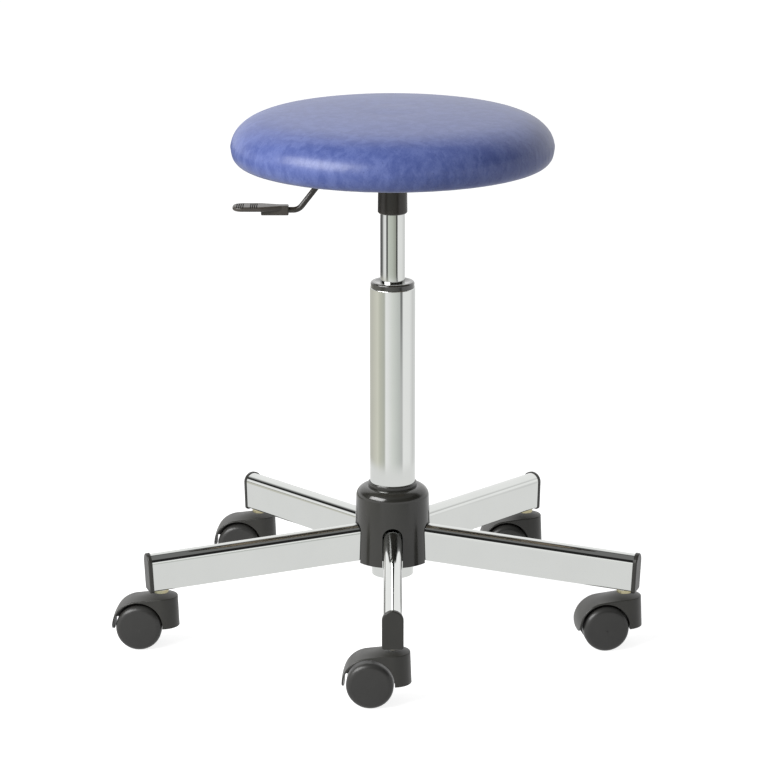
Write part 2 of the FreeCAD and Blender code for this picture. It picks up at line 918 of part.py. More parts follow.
def make_seat_cushion():
    """Foam and cover: crowned top, rounded shoulder, drawn-in side and a hem under the board."""
    radius = seat_diameter / 2
    foot = radius - cushion_foot_inset
    waist = hem_bottom + cushion_waist_height
    slack = 1 - cushion_heel_fullness
    shoulder = waist + cushion_shoulder_height
    rim = radius - cushion_shoulder_width
    bore = board_diameter / 2 + slip_fit
    return turned(
        (bore - hem_width, hem_bottom),
        (foot, hem_bottom),
        ((radius - cushion_foot_inset * slack, hem_bottom + cushion_waist_height * slack), (radius, waist)),
        (quarter((rim, waist), cushion_shoulder_width, cushion_shoulder_height), (rim, shoulder)),
        domed(rim, shoulder, cushion_crown),
        (0.0, board_top),
        (bore, board_top),
        (bore, plate_top),
        (bore - hem_width, plate_top),
    )


# Lever
def make_lever_rod():
    """Bent wire lever: level inner run over the button, step down, level outer run."""
    inner_end = upright(lever_tip_past_axis, lever_level)
    upper_bend = upright(-lever_bend_reach, lever_level)
    lower_bend = upright(-lever_bend_reach - lever_step_run, grip_level)
    outer_end = upright(grip_length - lever_reach - grip_rod_depth, grip_level)
    path = Part.Wire(bent_path([inner_end, upper_bend, lower_bend, outer_end], lever_bend_radius))
    section = Part.Wire(Part.makeCircle(lever_diameter / 2, inner_end, FreeCAD.Vector(-1, 0, 0)))
    return path.makePipeShell([section], True, False)


def bent_path(points, radius):
    """Straight runs joined by tangent arcs."""
    edges = []
    here = points[0]
    for before, corner, after in zip(points, points[1:], points[2:]):
        into = (corner - before).normalize()
        out = (after - corner).normalize()
        half_turn = into.getAngle(out) / 2
        setback = radius * math.tan(half_turn)
        start = corner - into * setback
        end = corner + out * setback
        inward = (out - into).normalize()
        middle = corner + inward * (radius / math.cos(half_turn) - radius)
        edges.append(Part.LineSegment(here, start).toShape())
        edges.append(Part.Arc(start, middle, end).toShape())
        here = end
    edges.append(Part.LineSegment(here, points[-1]).toShape())
    return edges


def make_lever_pivot():
    """Cross pin with a moulded block clamped on the lever."""
    reach = socket_sleeve_diameter / 2 + part_gap + plate_thickness
    pin = cross_rod(pivot_pin_diameter / 2, -reach, reach, -lever_pivot_reach, lever_level)
    length = pivot_block_length / 2
    width = pivot_block_width / 2
    height = pivot_block_height / 2
    saddle = block(
        (-lever_pivot_reach - length, -width, lever_level - height),
        (-lever_pivot_reach + length, width, lever_level + height),
    )
    saddle = saddle.makeFillet(grip_edge_round, saddle.Edges)
    bore = Part.makeCylinder(
        lever_diameter / 2 + running_fit,
        pivot_block_length * 2,
        upright(-lever_pivot_reach - pivot_block_length, lever_level),
        FreeCAD.Vector(1, 0, 0),
    )
    return saddle.fuse(pin).removeSplitter().cut(bore)


def make_paddle(tip, neck, root, top):
    """Flat paddle with a rounded tip that narrows towards the lever, its edges rounded."""
    half = paddle_width / 2
    corner = paddle_tip_round
    bend = corner * (1 - HALF_ROOT)
    root_half = paddle_root_width / 2
    plan = outline(
        flat,
        (tip, half - corner),
        ((tip + bend, half - bend), (tip + corner, half)),
        (neck, half),
        (root, root_half),
        (root, -root_half),
        (neck, -half),
        (tip + corner, -half),
        ((tip + bend, bend - half), (tip, corner - half)),
    )
    plan.translate(UP * (top - paddle_thickness))
    paddle = plan.extrude(UP * paddle_thickness)
    return paddle.makeFillet(paddle_edge_round, [edge for edge in paddle.Edges if not vertical(edge)])


def make_lever_grip():
    """Moulded grip: ribbed paddle on a socket that takes the lever's end."""
    tip = -lever_reach
    root = tip + grip_length
    neck = root - grip_socket_length
    half = grip_socket_width / 2
    rise = grip_socket_height / 2
    top = grip_level + rise
    sleeve = block((neck, -half, grip_level - rise), (root, half, top))
    sleeve = sleeve.makeFillet(grip_edge_round, sleeve.Edges)
    grip = make_paddle(tip, neck, root, top).fuse(sleeve).removeSplitter()
    for start in rib_group_starts:
        for index in range(rib_count):
            place = tip + start + index * rib_pitch
            grip = grip.cut(cross_rod(rib_groove / 2, -paddle_width, paddle_width, place, top))
    bore = Part.makeCylinder(
        lever_diameter / 2 + running_fit,
        grip_length,
        upright(root - grip_rod_depth - part_gap, grip_level),
        FreeCAD.Vector(1, 0, 0),
    )
    return grip.cut(bore)


def export(name, shape):
    """Write one piece as its own file."""
    shape.exportStep("parts/" + name + ".step")


def main():
    os.makedirs("parts", exist_ok=True)

    export("seat_cushion", make_seat_cushion())
    export("seat_board", make_seat_board())
    export("tee_nuts", make_tee_nuts())
    export("seat_bolts", make_seat_bolts())
    export("seat_plate", make_seat_plate())
    export("taper_socket", make_taper_socket())
    export("lever_rod", make_lever_rod())
    export("lever_pivot", make_lever_pivot())
    export("lever_grip", make_lever_grip())
    export("release_button", make_release_button())
    export("gas_cylinder", make_gas_cylinder())
    export("rod_guide", make_rod_guide())
    export("piston_rod", make_piston_rod())
    export("piston", make_piston())
    export("bump_stop", make_bump_stop())
    export("upper_race", make_upper_race())
    export("ball_cage", make_ball_cage())
    export("lower_race", make_lower_race())
    export("rod_clip", make_rod_clip())
    export("column_tube", make_column())
    export("guide_bush", make_guide_bush())
    export("hub_core", make_hub_core())
    export("hub_cover", make_hub_cover())

    arm = make_arm()
    cap = make_cap()
    stem = make_stem()
    hood = make_hood()
    axle = make_axle()
    outer_wheel = make_wheel(1)
    inner_wheel = make_wheel(-1)
    socket = make_castor_socket()
    sockets = []
    for index, name in enumerate(arm_names):
        export("arm_" + name, around(arm, index))
        export("end_cap_" + name, around(cap, index))
        export("castor_stem_" + name, at_castor(stem, index))
        export("castor_hood_" + name, at_castor(hood, index))
        export("castor_axle_" + name, at_castor(axle, index))
        export("wheel_a_" + name, at_castor(outer_wheel, index))
        export("wheel_b_" + name, at_castor(inner_wheel, index))
        sockets.append(at_castor(socket, index))
    export("castor_sockets", Part.makeCompound(sockets))


main()
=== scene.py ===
import math
import random

import bmesh
import bpy
from mathutils import Matrix, Vector


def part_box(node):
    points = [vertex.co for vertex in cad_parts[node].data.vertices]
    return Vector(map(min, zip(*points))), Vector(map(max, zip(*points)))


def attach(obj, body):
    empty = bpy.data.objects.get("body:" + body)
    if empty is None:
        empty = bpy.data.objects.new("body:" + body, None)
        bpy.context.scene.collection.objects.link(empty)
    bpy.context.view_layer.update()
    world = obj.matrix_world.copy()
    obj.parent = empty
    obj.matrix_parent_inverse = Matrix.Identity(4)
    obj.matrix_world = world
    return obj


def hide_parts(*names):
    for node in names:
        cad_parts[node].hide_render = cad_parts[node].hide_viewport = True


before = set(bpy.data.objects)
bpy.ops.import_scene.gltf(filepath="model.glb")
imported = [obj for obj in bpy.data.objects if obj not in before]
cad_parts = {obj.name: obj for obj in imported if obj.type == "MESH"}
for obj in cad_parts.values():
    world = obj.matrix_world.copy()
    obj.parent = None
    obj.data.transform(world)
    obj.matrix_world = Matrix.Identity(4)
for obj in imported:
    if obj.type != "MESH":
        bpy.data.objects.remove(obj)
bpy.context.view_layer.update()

bl_info = {
    "name": "Medical stool",
    "version": (1, 0, 0),
    "blender": (4, 5, 0),
    "location": "View3D > Sidebar > Stool",
    "description": "Padded seat, finishes and studio for a swivel stool on castors",
    "category": "Object",
}

ARM_NAMES = [name[4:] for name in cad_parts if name.startswith("arm_")]
SEAT_LOW, SEAT_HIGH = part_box("seat_cushion")
BOARD_LOW, BOARD_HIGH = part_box("seat_board")
FULL_TURN = 2 * math.pi


# Sizes, colours and studio values that a user would change
class StoolSizes(bpy.types.PropertyGroup):
    """Sizes of the pieces that are modelled here."""

    shoulder_width: bpy.props.FloatProperty(
        name="Shoulder width",
        description="How far the rounded shoulder of the cushion reaches in from its widest ring",
        default=0.048,
        unit="LENGTH",
    )
    waist_height: bpy.props.FloatProperty(
        name="Waist height",
        description="Height of the cushion's widest ring above its foot",
        default=0.0185,
        unit="LENGTH",
    )
    crown_join: bpy.props.FloatProperty(
        name="Crown join",
        description="Angle on the shoulder at which the domed crown starts",
        default=math.radians(82.5),
        subtype="ANGLE",
    )
    foot_inset: bpy.props.FloatProperty(
        name="Foot inset",
        description="How far the cushion's side draws in from the widest ring to the foot",
        default=0.016,
        unit="LENGTH",
    )
    heel_fullness: bpy.props.FloatProperty(
        name="Heel fullness",
        description="Power of the curve under the widest ring, squarer than an ellipse under 1",
        default=0.83,
        subtype="FACTOR",
    )
    swell: bpy.props.FloatProperty(
        name="Swell",
        description="How far the foam may lift the cover",
        default=0.0015,
        unit="LENGTH",
    )
    slack: bpy.props.FloatProperty(
        name="Slack",
        description="How far the widest ring is cut outside its finished place, which it draws back to",
        default=0.0009,
        unit="LENGTH",
    )
    hem_width: bpy.props.FloatProperty(
        name="Hem width",
        description="Width of the cover that is stapled under the board",
        default=0.024,
        unit="LENGTH",
    )
    pleat_depth: bpy.props.FloatProperty(
        name="Pleat depth",
        description="Depth of the gathers in the hem",
        default=0.0011,
        unit="LENGTH",
    )
    pleat_count: bpy.props.IntProperty(
        name="Pleats",
        description="Gathers round the hem",
        default=44,
    )
    staple_count: bpy.props.IntProperty(
        name="Staples",
        description="Staples round the hem",
        default=60,
    )
    staple_length: bpy.props.FloatProperty(
        name="Staple length",
        description="Length of a staple's back",
        default=0.0105,
        unit="LENGTH",
    )
    staple_width: bpy.props.FloatProperty(
        name="Staple width",
        description="Width of a staple's wire",
        default=0.0011,
        unit="LENGTH",
    )
    staple_height: bpy.props.FloatProperty(
        name="Staple height",
        description="Height of a staple's back, about half of it sunk in the hem",
        default=0.0008,
        unit="LENGTH",
    )


class StoolColours(bpy.types.PropertyGroup):
    """Colours of the finishes."""

    cover_deep: bpy.props.FloatVectorProperty(
        name="Cover, deep",
        description="Darker blue of the leatherette",
        default=(0.050, 0.078, 0.262),
        size=3,
        subtype="COLOR",
    )
    cover_pale: bpy.props.FloatVectorProperty(
        name="Cover, pale",
        description="Paler blue of the leatherette's marbling",
        default=(0.112, 0.150, 0.375),
        size=3,
        subtype="COLOR",
    )
    chrome: bpy.props.FloatVectorProperty(
        name="Chrome",
        description="Colour of the plated tubes",
        default=(0.735, 0.75, 0.73),
        size=3,
        subtype="COLOR",
    )
    plastic: bpy.props.FloatVectorProperty(
        name="Plastic",
        description="Black of the moulded pieces",
        default=(0.0255, 0.025, 0.0215),
        size=3,
        subtype="COLOR",
    )
    grip: bpy.props.FloatVectorProperty(
        name="Grip",
        description="Dark grey of the lever's grip",
        default=(0.055, 0.048, 0.042),
        size=3,
        subtype="COLOR",
    )
    wheel: bpy.props.FloatVectorProperty(
        name="Wheel",
        description="Black of the wheels",
        default=(0.029, 0.0285, 0.027),
        size=3,
        subtype="COLOR",
    )
    paint: bpy.props.FloatVectorProperty(
        name="Paint",
        description="Black paint of the seat plate, its sleeve and the lever",
        default=(0.030, 0.026, 0.021),
        size=3,
        subtype="COLOR",
    )
    floor: bpy.props.FloatVectorProperty(
        name="Floor",
        description="Colour of the studio floor",
        default=(0.5, 0.5, 0.5),
        size=3,
        subtype="COLOR",
    )


class StoolStudio(bpy.types.PropertyGroup):
    """Camera and light."""

    aim: bpy.props.FloatVectorProperty(
        name="Aim",
        description="Point that the camera looks at",
        default=(-0.00284, 0.0, 0.26671),
        size=3,
        subtype="TRANSLATION",
        unit="LENGTH",
    )
    distance: bpy.props.FloatProperty(
        name="Distance",
        description="From the camera to the point it looks at",
        default=3.7305,
        unit="LENGTH",
    )
    elevation: bpy.props.FloatProperty(
        name="Elevation",
        description="Angle of the camera above the level",
        default=math.radians(15.075),
        subtype="ANGLE",
    )
    lens: bpy.props.FloatProperty(
        name="Lens",
        description="Focal length in millimetres",
        default=155.96,
    )
    fill: bpy.props.FloatProperty(
        name="Fill",
        description="Even light from all round",
        default=0.365,
    )
    floor_lift: bpy.props.FloatProperty(
        name="Floor lift",
        description="Light added to the floor as the camera sees it, so that it is white",
        default=0.84,
    )
    key_azimuth: bpy.props.FloatProperty(
        name="Key azimuth",
        description="Turn of the key soft box round the stool from the camera's side, negative to the left",
        default=math.radians(-56),
        subtype="ANGLE",
    )
    key_elevation: bpy.props.FloatProperty(
        name="Key elevation",
        description="Angle of the key soft box above the level",
        default=math.radians(34),
        subtype="ANGLE",
    )
    key_distance: bpy.props.FloatProperty(
        name="Key distance",
        description="From the key soft box to the point that the camera looks at",
        default=2.6,
        unit="LENGTH",
    )
    key_width: bpy.props.FloatProperty(
        name="Key width",
        description="Width of the key soft box",
        default=2.2,
        unit="LENGTH",
    )
    key_height: bpy.props.FloatProperty(
        name="Key height",
        description="Height of the key soft box",
        default=1.2,
        unit="LENGTH",
    )
    key_power: bpy.props.FloatProperty(
        name="Key power",
        description="Power of the key soft box",
        default=84.0,
        unit="POWER",
    )


# Node trees written as expressions
class Wire:
    """A socket in a node tree; arithmetic on it adds Math nodes."""

    def __init__(self, tree, socket=None):
        self.tree = tree
        self.socket = socket

    def node(self, kind, settings=None, sockets=None, output=0):
        """Add a node: its settings first, then the values or links of its sockets."""
        node = self.tree.nodes.new(kind)
        for name, value in (settings or {}).items():
            if name == "stops":
                fill_ramp(node.color_ramp, value)
            else:
                setattr(node, name, value)
        for name, value in (sockets or {}).items():
            if isinstance(value, Wire):
                self.tree.links.new(value.socket, node.inputs[name])
            else:
                node.inputs[name].default_value = value
        return Wire(self.tree, node.outputs[output] if node.outputs else None)

    def also(self, output):
        """Another output of the same node."""
        return Wire(self.tree, self.socket.node.outputs[output])

    def maths(self, operation, *values):
        """A Math node on up to three values."""
        return self.node("ShaderNodeMath", {"operation": operation}, dict(enumerate(values)))

    def __add__(self, other):
        return self.maths("ADD", self, other)

    def __radd__(self, other):
        return self.maths("ADD", other, self)

    def __sub__(self, other):
        return self.maths("SUBTRACT", self, other)

    def __rsub__(self, other):
        return self.maths("SUBTRACT", other, self)

    def __mul__(self, other):
        return self.maths("MULTIPLY", self, other)

    def __rmul__(self, other):
        return self.maths("MULTIPLY", other, self)

    def __abs__(self):
        return self.maths("ABSOLUTE", self)

    def blend(self, first, second):
        """Two colours mixed by this value."""
        sockets = {0: self, 6: first, 7: second}
        return self.node("ShaderNodeMix", {"data_type": "RGBA"}, sockets, 2)

    def step(self, low, high):
        """Smooth step of this value from 0 at low to 1 at high."""
        settings = {"interpolation_type": "SMOOTHSTEP"}
        return self.node("ShaderNodeMapRange", settings, {"Value": self, "From Min": low, "From Max": high})


def fill_ramp(ramp, stops):
    """Set the stops of a colour ramp from pairs of place and colour."""
    while len(ramp.elements) < len(stops):
        ramp.elements.new(1.0)
    for element, (place, colour) in zip(ramp.elements, stops):
        element.position = place
        element.color = colour


def opaque(colour, factor=1.0):
    """A colour with its alpha, made lighter or darker by a factor."""
    return (*[channel * factor for channel in colour], 1.0)


def grey(level):
    """A grey with its alpha."""
    return (level, level, level, 1.0)


def new_material(name):
    """An empty material and its tree."""
    material = bpy.data.materials.new(name)
    material.use_nodes = True
    material.node_tree.nodes.clear()
    return material, Wire(material.node_tree)


def noise(tree, place, scale, detail=3.0, roughness=0.5, distortion=0.0):
    """Noise at a scale per metre."""
    sockets = {
        "Vector": place,
        "Scale": scale,
        "Detail": detail,
        "Roughness": roughness,
        "Distortion": distortion,
    }
    return tree.node("ShaderNodeTexNoise", None, sockets)


def object_place(tree, stretch=(1.0, 1.0, 1.0)):
    """Object coordinates, stretched along an axis where a grain runs along it."""
    place = tree.node("ShaderNodeTexCoord", output="Object")
    if stretch == (1.0, 1.0, 1.0):
        return place
    return tree.node("ShaderNodeMapping", None, {"Vector": place, "Scale": stretch})


def bump(tree, height, distance, strength=1.0):
    """Normal from a height that spans a distance in metres."""
    return tree.node("ShaderNodeBump", None, {"Height": height, "Distance": distance, "Strength": strength})


def finish(tree, sockets):
    """Principled shader with these sockets, wired to the output."""
    shader = tree.node("ShaderNodeBsdfPrincipled", None, sockets)
    tree.node("ShaderNodeOutputMaterial", None, {"Surface": shader})


# Finishes
def leatherette(colours):
    """Blue marbled leatherette: clouds, fine veins and a pebbled grain."""
    material, tree = new_material("blue_leatherette")
    place = object_place(tree)
    upright = object_place(tree, (1.0, 1.0, 0.55))
    clouds = noise(tree, place, 16.0)
    blotches = noise(tree, upright, 85.0, detail=5.0, roughness=0.62, distortion=0.5)
    threads = noise(tree, upright, 210.0, detail=4.0, roughness=0.6, distortion=1.6)
    veins = 1.0 - abs(threads - 0.5).step(0.0, 0.09)
    marbling = blotches.step(0.36, 0.66) * 0.62 + veins * 0.26 + clouds.step(0.35, 0.7) * 0.24
    specks = noise(tree, place, 420.0, detail=1.0).step(0.70, 0.76)
    base = marbling.blend(opaque(colours.cover_deep), opaque(colours.cover_pale))
    base = (specks * 0.5).blend(base, opaque(colours.cover_deep, 0.55))
    pebbles = tree.node("ShaderNodeTexVoronoi", {"feature": "SMOOTH_F1"}, {"Vector": place, "Scale": 820.0})
    creases = noise(tree, place, 330.0)
    relief = pebbles * 0.6 + creases * 0.4
    sockets = {
        "Base Color": base,
        "Roughness": 0.33 + blotches * 0.1,
        "Specular IOR Level": 0.42,
        "Coat Weight": 0.13,
        "Coat Roughness": 0.24,
        "Sheen Weight": 0.06,
        "Normal": bump(tree, relief, 0.00012, 0.35),
    }
    finish(tree, sockets)
    return material


def chrome(colours):
    """Plated tube: mirror finish with faint haze and draw lines."""
    material, tree = new_material("chromed_steel")
    place = object_place(tree)
    upright = object_place(tree, (1.0, 1.0, 0.02))
    haze = noise(tree, place, 28.0, detail=4.0)
    lines = noise(tree, upright, 900.0, detail=2.0)
    waves = noise(tree, place, 22.0, detail=1.0)
    tint = haze.blend(opaque(colours.chrome, 0.97), opaque(colours.chrome, 1.03))
    sockets = {
        "Base Color": tint,
        "Metallic": 1.0,
        "Roughness": 0.035 + haze.step(0.45, 0.75) * 0.03 + lines * 0.015,
        "Normal": bump(tree, waves, 0.0002, 0.12),
    }
    finish(tree, sockets)
    return material


def moulding_marks(tree, place):
    """Flow marks and spark-eroded pits, which all the mouldings have."""
    flow = noise(tree, place, 35.0, detail=4.0, roughness=0.55, distortion=0.8)
    pits = noise(tree, place, 1400.0, detail=2.0, roughness=0.6)
    return flow, pits


def moulded(name, colour, roughness, grain, coat=0.0):
    """Moulded plastic: fine spark-eroded grain, faint flow marks and paler rubbed patches."""
    material, tree = new_material(name)
    place = object_place(tree)
    flow, pits = moulding_marks(tree, place)
    rubbed = noise(tree, place, 9.0).step(0.5, 0.8)
    base = flow.blend(opaque(colour, 0.82), opaque(colour, 1.2))
    base = (rubbed * 0.35).blend(base, opaque(colour, 1.55))
    sockets = {
        "Base Color": base,
        "Roughness": roughness + flow * 0.08 + pits * 0.05,
        "Specular IOR Level": 0.5,
        "Coat Weight": coat,
        "Coat Roughness": 0.08,
        "Normal": bump(tree, pits, 0.00008, grain),
    }
    finish(tree, sockets)
    return material


def grip_plastic(colours):
    """Paler moulded plastic of the grip, with painted shade in the grooves across its top, which are also
    rougher.
    """
    material, tree = new_material("grip_plastic")
    low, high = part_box("lever_grip")
    group_starts = (0.005, 0.020)
    groove_count = 4
    pitch = 0.0022
    place = object_place(tree)
    along = tree.node("ShaderNodeSeparateXYZ", None, {"Vector": place}, "X")
    # Painted shade: a mask of the grooves across the grip's top, darkened in the base colour below.
    painted_groove_shade = 0.0
    for start in group_starts:
        beat = (along - (low.x + start)) * (1 / pitch)
        near = 1.0 - abs(beat - beat.maths("ROUND", beat)).step(0.2, 0.34)
        within = beat.step(-0.5, -0.4) * (1.0 - beat.step(groove_count - 0.6, groove_count - 0.5))
        painted_groove_shade = near * within + painted_groove_shade
    painted_groove_shade = painted_groove_shade * along.also("Z").step(high.z - 0.0016, high.z - 0.001)
    flow, pits = moulding_marks(tree, place)
    base = flow.blend(opaque(colours.grip, 0.85), opaque(colours.grip, 1.2))
    # Painted shade: the grooves are darker in the base colour, and rougher.
    sockets = {
        "Base Color": painted_groove_shade.blend(base, opaque(colours.grip, 0.2)),
        "Roughness": 0.26 + flow * 0.08 + painted_groove_shade * 0.6,
        "Normal": bump(tree, pits, 0.00008, 0.15),
    }
    finish(tree, sockets)
    return material


def painted(colours):
    """Black stove paint over steel: slight orange peel and dust."""
    material, tree = new_material("black_painted_steel")
    place = object_place(tree)
    peel = noise(tree, place, 380.0, detail=2.0)
    dust = noise(tree, place, 40.0, detail=4.0).step(0.5, 0.8)
    base = dust.blend(opaque(colours.paint), opaque(colours.paint, 1.8))
    sockets = {
        "Base Color": base,
        "Roughness": 0.26 + dust * 0.1,
        "Normal": bump(tree, peel, 0.0001, 0.25),
    }
    finish(tree, sockets)
    return material


def steel(name, colour, roughness, tint):
    """Bare or zinc-plated steel: crystalline patches, turning marks and a tint in places."""
    material, tree = new_material(name)
    place = object_place(tree)
    patches = tree.node("ShaderNodeTexVoronoi", None, {"Vector": place, "Scale": 420.0}, "Color")
    shade = tree.node("ShaderNodeRGBToBW", None, {"Color": patches})
    around = object_place(tree, (0.15, 0.15, 1.0))
    marks = noise(tree, around, 2200.0, detail=2.0)
    stain = noise(tree, place, 90.0).step(0.4, 0.7)
    base = shade.blend(opaque(colour, 0.88), opaque(colour, 1.08))
    base = (stain * 0.45).blend(base, opaque(tint))
    sockets = {
        "Base Color": base,
        "Metallic": 1.0,
        "Roughness": roughness + shade * 0.08 + marks * 0.06,
        "Normal": bump(tree, marks, 0.00003, 0.3),
    }
    finish(tree, sockets)
    return material


def plywood():
    """Birch plywood face: long grain with growth bands and small pores."""
    material, tree = new_material("plywood")
    late_wood = (0.37, 0.30, 0.215, 1.0)
    early_wood = (0.49, 0.405, 0.30, 1.0)
    pore = (0.24, 0.17, 0.105, 1.0)
    place = object_place(tree)
    along = object_place(tree, (1.0, 9.0, 9.0))
    bend = noise(tree, place, 5.0, detail=2.0)
    settings = {"wave_type": "BANDS", "bands_direction": "Y"}
    bands = tree.node(
        "ShaderNodeTexWave",
        settings,
        {"Vector": place, "Scale": 26.0, "Distortion": 9.0, "Detail": 3.0, "Detail Scale": 0.6},
    )
    pores = noise(tree, along, 160.0, roughness=0.6)
    base = (bands * 0.6 + bend * 0.4).blend(late_wood, early_wood)
    base = (pores.step(0.56, 0.7) * 0.55).blend(base, pore)
    sockets = {
        "Base Color": base,
        "Roughness": 0.58 + pores * 0.15,
        "Normal": bump(tree, pores, 0.0002, 0.3),
    }
    finish(tree, sockets)
    return material


def rubber():
    """Dull black rubber with bloom."""
    material, tree = new_material("black_rubber")
    place = object_place(tree)
    bloom = noise(tree, place, 70.0, detail=4.0)
    skin = noise(tree, place, 900.0, detail=2.0)
    base = bloom.blend((0.012, 0.012, 0.012, 1.0), (0.035, 0.035, 0.034, 1.0))
    sockets = {
        "Base Color": base,
        "Roughness": 0.7 + bloom * 0.15,
        "Normal": bump(tree, skin, 0.0001, 0.3),
    }
    finish(tree, sockets)
    return material


def dress(material, *nodes):
    """Give CAD nodes a finish."""
    for node in nodes:
        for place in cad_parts[node].material_slots:
            place.material = material


def each_arm(prefix):
    """Names of the five like nodes, one per arm."""
    return [prefix + name for name in ARM_NAMES]


def hide_from_mirrors(nodes):
    """Keep CAD nodes out of what the chrome shows."""
    for node in nodes:
        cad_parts[node].visible_glossy = False


# Mesh helpers
def new_piece(name, shape, material):
    """Object at the origin from a bmesh, shaded smooth."""
    bmesh.ops.recalc_face_normals(shape, faces=shape.faces)
    mesh = bpy.data.meshes.new(name)
    shape.to_mesh(mesh)
    shape.free()
    mesh.shade_smooth()
    mesh.materials.append(material)
    piece = bpy.data.objects.new(name, mesh)
    bpy.context.scene.collection.objects.link(piece)
    return piece


def lathe(profile, steps):
    """Bmesh of revolution about Z from a chain of radius and height."""
    shape = bmesh.new()
    points = [shape.verts.new((radius, 0.0, height)) for radius, height in profile]
    edges = [shape.edges.new(pair) for pair in zip(points, points[1:])]
    bmesh.ops.spin(
        shape,
        geom=points + edges,
        cent=(0.0, 0.0, 0.0),
        axis=(0.0, 0.0, 1.0),
        angle=FULL_TURN,
        steps=steps,
        use_merge=True,
    )
    bmesh.ops.remove_doubles(shape, verts=shape.verts, dist=1e-6)
    return shape


def oval(centre, size, start, end, count, fullness=1.0):
    """Points on a quarter of an ellipse between two angles, squarer where the fullness is under 1."""
    points = []
    for index in range(count + 1):
        angle = start + (end - start) * index / count
        out = abs(math.cos(angle)) ** fullness
        rise = math.copysign(abs(math.sin(angle)) ** fullness, angle)
        points.append((centre[0] + size[0] * out, centre[1] + size[1] * rise))
    return points


def apply_modifiers(piece):
    """Keep the evaluated mesh and drop the modifiers."""
    depsgraph = bpy.context.evaluated_depsgraph_get()
    mesh = bpy.data.meshes.new_from_object(piece.evaluated_get(depsgraph))
    piece.modifiers.clear()
    old = piece.data
    piece.data = mesh
    bpy.data.meshes.remove(old)
    piece.data.name = piece.name


# Seat
def cushion_profile(sizes):
    """Half section of the cushion from crown to foot, before the foam lifts the crown.

    The crown is a parabola that runs on smoothly from the elliptic shoulder.
    """
    radius = SEAT_HIGH.x + sizes.slack
    top = SEAT_HIGH.z - sizes.swell
    rim = SEAT_HIGH.x - sizes.shoulder_width
    foot = SEAT_HIGH.x - sizes.foot_inset
    waist = SEAT_LOW.z + sizes.waist_height
    join = sizes.crown_join
    across = radius - rim
    edge = rim + across * math.cos(join)
    fall = edge / (2 * across * math.tan(join))
    up = (top - waist) / (math.sin(join) + fall)
    steps = 8
    crown = [(edge * step / steps, top - up * fall * (step / steps) ** 2) for step in range(steps)]
    shoulder = oval((rim, waist), (across, up), join, 0.0, count=14)
    down = -math.pi / 2
    heel_size = (radius - foot, sizes.waist_height)
    heel = oval((foot, waist), heel_size, down / 10, down, count=9, fullness=sizes.heel_fullness)
    return crown + shoulder + heel + [(0.0, SEAT_LOW.z)]


def blow_out(piece, sizes, held_below):
    """Let pressure lift the cover against the grip of the foam, each point by the swell at most."""
    foam_grip = 0.3
    frames = 20
    held = piece.vertex_groups.new(name="held")
    low = [vertex.index for vertex in piece.data.vertices if vertex.co.z < held_below]
    held.add(range(len(piece.data.vertices)), foam_grip, "REPLACE")
    held.add(low, 1.0, "REPLACE")
    cloth = piece.modifiers.new("swell", "CLOTH")
    cloth.settings.quality = 6
    cloth.settings.mass = 0.3
    cloth.settings.tension_stiffness = 3.0
    cloth.settings.compression_stiffness = 3.0
    cloth.settings.bending_stiffness = 3.0
    cloth.settings.pin_stiffness = 0.01
    cloth.settings.use_pressure = True
    cloth.settings.uniform_pressure_force = 5.0
    cloth.settings.effector_weights.gravity = 0.0
    cloth.settings.vertex_group_mass = held.name
    cloth.point_cache.frame_start = 1
    cloth.point_cache.frame_end = frames
    before = [vertex.co.copy() for vertex in piece.data.vertices]
    for number in range(1, frames + 1):
        bpy.context.scene.frame_set(number)
    apply_modifiers(piece)
    bpy.context.scene.frame_set(1)
    for vertex, start in zip(piece.data.vertices, before):
        move = vertex.co - start
        if move.length > sizes.swell:
            vertex.co = start + move.normalized() * sizes.swell


def remesh(piece, voxel):
    """Even skin of small quads."""
    skin = piece.modifiers.new("skin", "REMESH")
    skin.mode = "VOXEL"
    skin.voxel_size = voxel
    apply_modifiers(piece)


def relax(piece, rounds):
    """Smooth the skin a few times."""
    shape = bmesh.new()
    shape.from_mesh(piece.data)
    for _ in range(rounds):
        bmesh.ops.smooth_vert(
            shape, verts=shape.verts, factor=0.5, use_axis_x=True, use_axis_y=True, use_axis_z=True
        )
    shape.to_mesh(piece.data)
    shape.free()
    piece.data.shade_smooth()


def pleat(sizes, turn, radius):
    """How far the gathered hem hangs down at a turn and a radius."""
    crest = 0.8
    run_out = 0.006
    share = (turn / FULL_TURN * sizes.pleat_count) % 1.0
    fold = share ** 3 if share < crest else crest ** 3 * (1.0 - share) / (1.0 - crest)
    start = SEAT_HIGH.x - sizes.foot_inset + run_out
    reach = (start - radius) / (start - BOARD_HIGH.x + sizes.hem_width)
    return 2 * sizes.pleat_depth * fold * min(max(reach, 0.0), 1.0)


def gather(piece, sizes):
    """Fold the hem under the board into pleats."""
    hem_top = SEAT_LOW.z + 0.002
    for vertex in piece.data.vertices:
        if vertex.co.z < hem_top:
            turn = math.atan2(vertex.co.y, vertex.co.x)
            vertex.co.z -= pleat(sizes, turn, vertex.co.xy.length)


def hollow(piece, sizes):
    """Cut the pocket for the board and the opening inside the hem."""
    gap = 0.0003
    side = BOARD_HIGH.x + gap
    opening = BOARD_HIGH.x - sizes.hem_width
    floor = BOARD_LOW.z
    roof = BOARD_HIGH.z + gap
    under = SEAT_LOW.z - 0.01
    profile = [(0.0, under), (opening, under), (opening, floor), (side, floor), (side, roof), (0.0, roof)]
    cutter = new_piece("pocket", lathe(profile, steps=128), piece.data.materials[0])
    pocket = piece.modifiers.new("pocket", "BOOLEAN")
    pocket.operation = "DIFFERENCE"
    pocket.solver = "EXACT"
    pocket.object = cutter
    apply_modifiers(piece)
    bpy.data.objects.remove(cutter)


